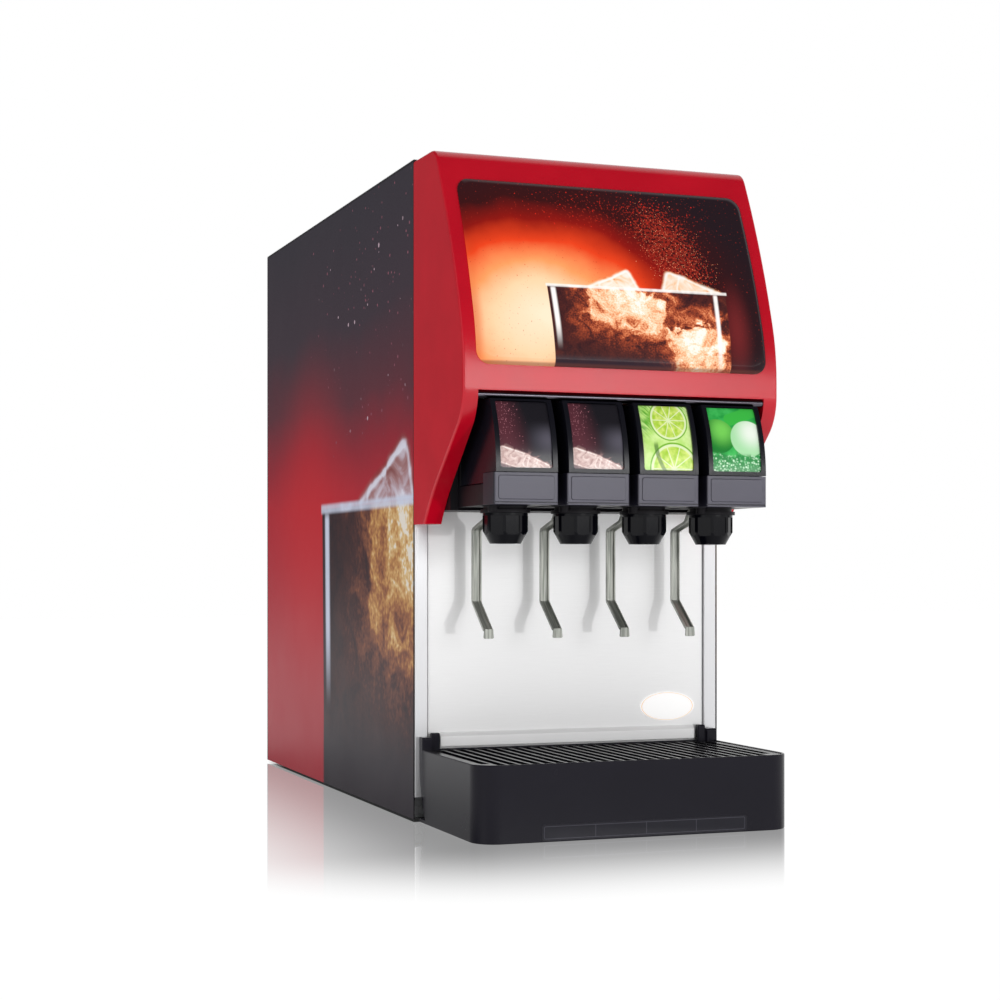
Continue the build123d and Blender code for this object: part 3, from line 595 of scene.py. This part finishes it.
steel = (0.74, 0.74, 0.74)
finishes = {
    "red_moulding": lambda n: plastic(n, (0.53, 0.0002, 0.013), 0.22, 1.2, 0.006, specular_ior_level=0.45),
    "side_print": side_print,
    "casing_grey": lambda n: coated(n, (0.035, 0.035, 0.04), 0.45),
    "galvanised": lambda n: spangled(n, (0.55, 0.56, 0.57)),
    "splash_steel": lambda n: brushed(n, (0.97, 0.965, 0.97), 0.40, metallic=0.2),
    "bright_trim": lambda n: brushed(n, (0.82, 0.82, 0.84), 0.22, (1, 1, 60), metallic=0.4),
    "sign_face": lit_sign,
    "lamp_white": lambda n: coated(n, (0.85, 0.85, 0.83), 0.5),
    "lamp": lambda n: lamp(n, (0.95, 0.92, 0.80)),
    "housing_black": lambda n: plastic(n, (0.005, 0.004, 0.006), 0.42, 0.5, 0.02, specular_ior_level=0.2),
    "valve_black": lambda n: plastic(n, (0.006, 0.006, 0.010), 0.22, specular_ior_level=0.35),
    "panel_grey": panel_plastic,
    "card_print": lambda n: plastic(n, (0.5, 0.5, 0.5), 0.2),
    "nozzle_black": lambda n: plastic(n, (0.002, 0.002, 0.004), 0.14, specular_ior_level=0.18),
    "diffuser_black": lambda n: plastic(n, (0.02, 0.02, 0.02), 0.5),
    "lever_steel": lever_strip,
    "bar_dark": lambda n: polished(n, (0.11, 0.10, 0.12), 0.16),
    "tray_black": lambda n: plastic(n, (0.008, 0.007, 0.013), 0.26, 0.7, 0.012, specular_ior_level=0.17),
    "grille_black": lambda n: plastic(n, (0.004, 0.004, 0.006), 0.24, 0.7, 0.015, specular_ior_level=0.2),
    "rubber_black": lambda n: plastic(n, (0.012, 0.012, 0.012), 0.8, 0.8, 0.05),
    "zinc_screw": lambda n: spangled(n, (0.62, 0.62, 0.60)),
    "coil_black": lambda n: plastic(n, (0.02, 0.02, 0.025), 0.5),
    "pin_steel": lambda n: polished(n, steel, 0.2),
    "tank_white": lambda n: plastic(n, (0.80, 0.80, 0.77), 0.5, 2.0, 0.05, subsurface_weight=0.05),
    "foam": lambda n: foam(n, (0.80, 0.66, 0.36)),
    "copper": lambda n: polished(n, (0.72, 0.34, 0.20), 0.28),
    "coil_steel": lambda n: polished(n, steel, 0.25),
    "motor_grey": lambda n: coated(n, (0.12, 0.13, 0.15), 0.4),
    "compressor_black": lambda n: coated(n, (0.012, 0.012, 0.012), 0.3),
    "fin_aluminium": lambda n: brushed(n, (0.80, 0.80, 0.81), 0.4, (1, 1, 30)),
    "fan_white": lambda n: plastic(n, (0.66, 0.68, 0.72), 0.4),
    "impeller_white": lambda n: plastic(n, (0.76, 0.76, 0.76), 0.4),
    "vessel_steel": lambda n: brushed(n, steel, 0.3),
    "box_grey": lambda n: coated(n, (0.50, 0.51, 0.53), 0.45),
    "module_black": lambda n: plastic(n, (0.012, 0.012, 0.012), 0.45),
    "rocker_red": lambda n: plastic(n, (0.55, 0.008, 0.008), 0.2, emission_color=(0.6, 0.02, 0.01),
                                    emission_strength=0.15),
    "stub_steel": lambda n: brushed(n, steel, 0.25, (1, 40, 1)),
}
materials = {slot: make(slot) for slot, make in finishes.items()}
node_slot = {part["node"]: part["material_slot"] for part in frame["record"]["subparts"]}
for node, slot in node_slot.items():
    part = frame["nodes"][node]
    part.data.materials.clear()
    part.data.materials.append(materials[slot])


# ---- edges of the frame's parts -------------------------------------------------------------
def soften(name, width, segments=2):
    """Round a part's sharp edges, as moulding, folding or deburring leaves them."""
    part = frame["nodes"][name]
    part.modifiers.new("weld", "WELD").merge_threshold = 1e-6
    flat = part.modifiers.new("flat", "DECIMATE")
    flat.decimate_type = "DISSOLVE"
    flat.angle_limit = radians(0.05)
    bevel = part.modifiers.new("bevel", "BEVEL")
    bevel.width = width * MM
    bevel.segments = segments
    bevel.limit_method = "ANGLE"
    bevel.angle_limit = radians(35)
    part.modifiers.new("normals", "WEIGHTED_NORMAL")


valve_numbers = (1, 2, 3, 4)
edge_widths = {
    "head_shell": 0.8, "drip_tray": 1.0, "drip_grille": 0.4, "valve_apron": 1.0, "splash_sill": 0.5,
    "top_lid": 0.5, "splash_post_left": 0.3, "splash_post_right": 0.3, "mains_inlet": 0.6,
    "rocker_switch": 0.4, "inlet_fittings": 0.3, "rubber_feet": 0.5,
}
for number in valve_numbers:
    edge_widths |= {
        f"valve_cover_{number}": 0.9, f"access_panel_{number}": 0.4, f"valve_body_{number}": 0.5,
        f"nozzle_{number}": 0.5, f"cup_lever_{number}": 0.25,
    }
for node, width in edge_widths.items():
    soften(node, width)


# ---- meshes ---------------------------------------------------------------------------------
def add_piece(name, points, faces, material, body, slot):
    """A new smooth-shaded mesh that rides on a body."""
    mesh = bpy.data.meshes.new(name)
    mesh.from_pydata(points, [], faces)
    mesh.materials.append(material)
    mesh.polygons.foreach_set("use_smooth", [True] * len(mesh.polygons))
    mesh.set_sharp_from_angle(angle=radians(32))
    piece = bpy.data.objects.new(name, mesh)
    bpy.context.scene.collection.objects.link(piece)
    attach(piece, body)
    return piece


def loft(rings, caps=(True, True)):
    """Points and faces of a tube of quads through closed rings, with flat caps."""
    count = len(rings[0])
    points = [point for ring in rings for point in ring]
    faces = []
    for r in range(len(rings) - 1):
        for i in range(count):
            j = (i + 1) % count
            faces.append((r * count + i, r * count + j, (r + 1) * count + j, (r + 1) * count + i))
    if caps[0]:
        faces.append(tuple(reversed(range(count))))
    if caps[1]:
        last = (len(rings) - 1) * count
        faces.append(tuple(range(last, last + count)))
    return points, faces


def rounded_ring(half_width, half_height, corner, side_points=14, corner_points=8):
    """Points of a rounded rectangle about (0, 0), anticlockwise from the right side's foot."""
    ring = []
    inner_x, inner_y = half_width - corner, half_height - corner
    corners = ((1, 1, 0), (-1, 1, 90), (-1, -1, 180), (1, -1, 270))
    for number, (sx, sy, start) in enumerate(corners):
        for i in range(corner_points + 1):
            angle = radians(start + 90 * i / corner_points)
            ring.append((sx * inner_x + corner * cos(angle), sy * inner_y + corner * sin(angle)))
        next_sx, next_sy, next_start = corners[(number + 1) % 4]
        angle = radians(next_start)
        end = (next_sx * inner_x + corner * cos(angle), next_sy * inner_y + corner * sin(angle))
        begin = ring[-1]
        for i in range(1, side_points):
            t = i / side_points
            ring.append((begin[0] + (end[0] - begin[0]) * t, begin[1] + (end[1] - begin[1]) * t))
    return ring


# the face of the head, as in the CAD section: two arcs that lean back, then a rounded nose
lower_radius, lower_turn = 200 * MM, radians(17)
upper_radius, upper_turn = 960 * MM, radians(27.6)
nose_radius = 22 * MM
rise = lower_radius * sin(lower_turn) + upper_radius * (sin(upper_turn) - sin(lower_turn))
rise += nose_radius * (1 - sin(upper_turn))
face_foot = head_high.z - rise
lower_centre = (head_low.y + lower_radius, face_foot)
upper_centre = (lower_centre[0] + (upper_radius - lower_radius) * cos(lower_turn),
                lower_centre[1] - (upper_radius - lower_radius) * sin(lower_turn))


def on_face(height, proud):
    """(y, z) of a point on the head's face at this height, moved outwards by proud."""
    lower = (height - lower_centre[1]) / lower_radius
    if lower < sin(lower_turn):
        centre, radius, slope = lower_centre, lower_radius, max(lower, -1.0)
    else:
        centre, radius, slope = upper_centre, upper_radius, (height - upper_centre[1]) / upper_radius
    if slope < 0:
        return centre[0] - radius - proud, height
    reach = radius + proud
    return centre[0] - reach * sqrt(1 - slope * slope), centre[1] + reach * slope


def sign_face():
    """Pillowed sign lens: a border that climbs from the head, and a face that follows its curve."""
    half_x = sign_high.x
    proud = 5 * MM
    low, high = 470 * MM, 665 * MM
    middle, half_z = (low + high) / 2, (high - low) / 2
    border = 9 * MM
    insets = [border * t for t in (0, 0.04, 0.1, 0.2, 0.32, 0.46, 0.62, 0.8, 1.0)]
    insets += [border + (half_z - border - 0.5 * MM) * i / 26 for i in range(1, 27)]
    rings = []
    for inset in insets:
        climb = min(inset / border, 1.0)
        height = proud * (0.25 + 0.75 * (1 - (1 - climb) ** 2.4)) if climb < 1 else proud
        corner = 14 * MM * (1 - 0.75 * inset / half_z)
        outline = rounded_ring(half_x - inset, half_z - inset, min(corner, half_z - inset), 40, 10)
        ring = []
        for x, z in outline:
            y, z = on_face(middle + z, height)
            ring.append((x, y, z))
        rings.append(ring)
    foot = []
    for x, z in rounded_ring(half_x, half_z, 14 * MM, 40, 10):
        y, z = on_face(middle + z, 0.0)
        foot.append((x, y, z))
    points, faces = loft([foot] + rings, (False, False))
    last = len(rings) * len(foot)
    count = len(foot)
    faces.append(tuple(range(last, last + count)))
    piece = add_piece("sign_face", points, faces, materials["sign_face"], "cabinet", "sign_face")
    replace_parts(piece, "sign_lens")


def flavour_cards():
    """Four picture cards, each a thin curved sheet behind the window of its valve cover."""
    low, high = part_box("flavour_cards")
    radius, thickness = 148 * MM, 0.6 * MM
    centre = (low.y + radius, 363 * MM)
    half_card = 29.5 * MM
    rows = 24
    pictures = (cola_card, cola_card, lime_card, apple_card)
    for number, picture in zip(valve_numbers, pictures):
        cover_low, cover_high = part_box(f"valve_cover_{number}")
        middle = (cover_low.x + cover_high.x) / 2
        rings = []
        for i in range(rows + 1):
            z = low.z + (high.z - low.z) * i / rows
            y = centre[0] - sqrt(radius * radius - (z - centre[1]) ** 2)
            left, right = middle - half_card, middle + half_card
            rings.append([(left, y, z), (right, y, z), (right, y + thickness, z), (left, y + thickness, z)])
        name = f"flavour_card_{number}"
        film = printed(name, picture, middle - half_card, low.z, roughness=0.18)
        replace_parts(add_piece(name, *loft(rings), film, "cabinet", "card_print"), "flavour_cards")


def dome(name, outline, thickness, place, material, body, slot):
    """Thin plate that stands forward of a wall: outline(inset) gives its (x, z) ring."""
    x0, y0, z0 = place
    steps = ((0.0, 0.0), (0.0, 0.55), (0.12, 0.8), (0.35, 0.95), (0.8, 1.0))
    rings = []
    for inset, height in steps:
        rings.append([(x0 + x, y0 - thickness * height, z0 + z) for x, z in outline(inset * thickness)])
    return add_piece(name, *loft(rings), material, body, slot)


def splash_badge():
    """Blank oval badge on the splash panel: white enamel with a thin orange line, and a faint painted glow
    that brightens it.
    """
    radii = (33, 16)
    centre = (117.7, 115)
    place = (centre[0] * MM, splash_low.y, centre[1] * MM)
    # painted glow: a weak white emission makes the enamel brighter than the lamps alone would
    paint = Paint("badge_enamel_painted_glow", roughness=0.2, emission_color=(1, 1, 1), emission_strength=0.3)
    x, _, z = paint.place()
    reach = ellipse(x, z, centre, radii)
    line = (1 - abs(reach - 0.935) / 0.03).rise(0, 0.8)
    cloud = paint.noise(20, detail=2)
    white = paint.mix(cloud, (0.95, 0.94, 0.93), (0.99, 0.98, 0.97))
    paint.finish(base_color=paint.mix(line, white, shade(244, 178, 120)))
    paint.bump(paint.noise(1.5, detail=2), 0.01)

    def outline(inset):
        turns = [2 * pi * i / 72 for i in range(72)]
        return [((radii[0] * MM - inset) * cos(t), (radii[1] * MM - inset) * sin(t)) for t in turns]

    dome("splash_badge", outline, 1.2 * MM, place, paint.material, "cabinet", "splash_steel")


def tray_label():
    """Blank film label low on the tray's front, ruled into four columns."""
    half_width, half_height = 112, 8
    centre = (6.5, 9.3)
    place = (centre[0] * MM, tray_low.y, centre[1] * MM)
    paint = Paint("label_film", roughness=0.3, specular_ior_level=0.2)
    x, _, z = paint.place()
    frame_line = slab(x, z, centre, (2 * half_width - 5, 2 * half_height - 4), 1.5)
    ruled = (1 - abs(frame_line) / 0.35).rise(0, 0.6)
    for i in (-1, 0, 1):
        column = (1 - abs(x - centre[0] - 55 * i) / 0.35).rise(0, 0.6) * frame_line.fall(-0.1, 0.1)
        ruled = ruled.at_least(column)
    cloud = paint.noise(30, detail=2)
    film = paint.mix(cloud, shade(26, 25, 33), shade(34, 33, 42))
    paint.finish(base_color=paint.mix(0.3 * ruled, film, shade(130, 128, 142)))
    paint.bump(paint.noise(2, detail=2), 0.006)

    def outline(inset):
        return rounded_ring(half_width * MM - inset, half_height * MM - inset, 2.5 * MM, 12, 5)

    dome("tray_label", outline, 0.3 * MM, place, paint.material, "tray", "tray_black")


sign_face()
flavour_cards()
splash_badge()
tray_label()


# ---- stage ----------------------------------------------------------------------------------
def floor():
    """Glowing white floor that mirrors close to the machine, with a painted shadow under the cabinet where
    its glow is turned down.
    """
    size = 8.0
    mesh = bpy.data.meshes.new("floor")
    corners = [(-size, -size, 0), (size, -size, 0), (size, size, 0), (-size, size, 0)]
    mesh.from_pydata(corners, [], [(0, 1, 2, 3)])
    plane = bpy.data.objects.new("floor", mesh)
    bpy.context.scene.collection.objects.link(plane)
    paint = Paint("floor", base_color=(0.02, 0.02, 0.02), roughness=0.6, specular_ior_level=0.0,
                  emission_color=(1, 1, 1))
    x, y, _ = paint.place()
    half_width, half_depth = cad_box[1][0] / MM, cad_box[1][1] / MM
    out_x = (abs(x) - half_width).at_least(0)
    out_y = (abs(y) - half_depth).at_least(0)
    away = (out_x * out_x + out_y * out_y) ** 0.5
    beyond_y = (front / MM - y).at_least(y - cabinet_high.y / MM)
    beyond = (abs(x) - half_width).at_least(beyond_y)
    # painted shadow: the floor's glow drops to almost nothing inside the cabinet's footprint
    paint.finish(emission_strength=0.05 + 0.95 * beyond.rise(-1, 0))
    mirror = paint.node("ShaderNodeBsdfGlossy")
    paint.feed(mirror.inputs["Color"], (1, 1, 1))
    mirror.inputs["Roughness"].default_value = 0.03
    blend = paint.node("ShaderNodeMixShader")
    mirror_reach = 340
    paint.feed(blend.inputs[0], 0.72 * away.fall(0, mirror_reach))
    paint.feed(blend.inputs[1], paint.shader.outputs[0])
    paint.feed(blend.inputs[2], mirror.outputs[0])
    paint.feed(paint.tree.nodes["Material Output"].inputs["Surface"], blend.outputs[0])
    mesh.materials.append(paint.material)


def area_light(name, place, target, size, power, diffuse=True, glossy=True):
    data = bpy.data.lights.new(name, "AREA")
    data.shape = "RECTANGLE"
    data.size, data.size_y = size
    data.energy = power
    light = bpy.data.objects.new(name, data)
    light.location = place
    light.rotation_euler = (Vector(target) - Vector(place)).to_track_quat("-Z", "Y").to_euler()
    light.visible_diffuse = diffuse
    light.visible_glossy = glossy
    bpy.context.scene.collection.objects.link(light)


class Sky(Paint):
    """The world's nodes, drawn on with the same short ways as a material's."""

    def __init__(self, name):
        self.world = bpy.data.worlds.new(name)
        self.world.use_nodes = True
        self.tree = self.world.node_tree


def studio():
    """White cyclorama. Reflections see it bright behind the machine and low in front, dim elsewhere,
    and darkest overhead."""
    sky = Sky("studio")
    rays = sky.node("ShaderNodeLightPath")
    direction = sky.node("ShaderNodeSeparateXYZ")
    sky.feed(direction.inputs[0], sky.node("ShaderNodeTexCoord").outputs["Generated"])
    x, y, z = [Field(sky, output) for output in direction.outputs]
    behind = y.rise(-0.1, 0.1) * x.rise(-0.06, 0.02)
    low_in_front = z.fall(0.16, 0.42) * y.fall(-0.4, 0.0)
    overhead = z.rise(0.40, 0.70)
    mirrored = 0.13 + 0.87 * behind.at_least(low_in_front) - 0.09 * overhead
    camera_ray = Field(sky, rays.outputs["Is Camera Ray"])
    glossy_ray = Field(sky, rays.outputs["Is Glossy Ray"])
    ambient = 0.66
    strength = camera_ray + (1 - camera_ray) * (glossy_ray * mirrored + (1 - glossy_ray) * ambient)
    background = sky.tree.nodes["Background"]
    sky.feed(background.inputs["Color"], (1, 1, 1))
    sky.feed(background.inputs["Strength"], strength)
    bpy.context.scene.world = sky.world
    bpy.context.scene.view_settings.view_transform = "Standard"
    middle = (0, front, 0.3)
    head_foot = (0, front, 0.46)
    valves = (0, front, 0.42)
    area_light("key_light", (0.62, front - 2.3, 0.07), middle, (0.06, 0.06), 12, glossy=False)
    area_light("fill_light", (-2.4, front - 0.8, 1.3), middle, (2.0, 2.0), 7)
    area_light("front_softbox", (0.55, front - 2.0, 0.68), valves, (0.8, 0.55), 4, diffuse=False)
    area_light("low_strip", (0.6, front - 2.0, 0.62), head_foot, (2.6, 0.10), 4.5, diffuse=False)


def camera():
    """The camera stands low on the machine's left, level, with the view shifted up a little."""
    data = bpy.data.cameras.new("camera")
    data.sensor_width = 36
    data.lens = 68.4
    data.shift_y = 0.0684
    data.clip_start = 0.05
    eye = bpy.data.objects.new("camera", data)
    eye.location = (-0.7851, front - 1.9144, 0.268)
    eye.rotation_euler = (radians(90), 0, -radians(20.2))
    bpy.context.scene.collection.objects.link(eye)
    bpy.context.scene.camera = eye


floor()
studio()
camera()
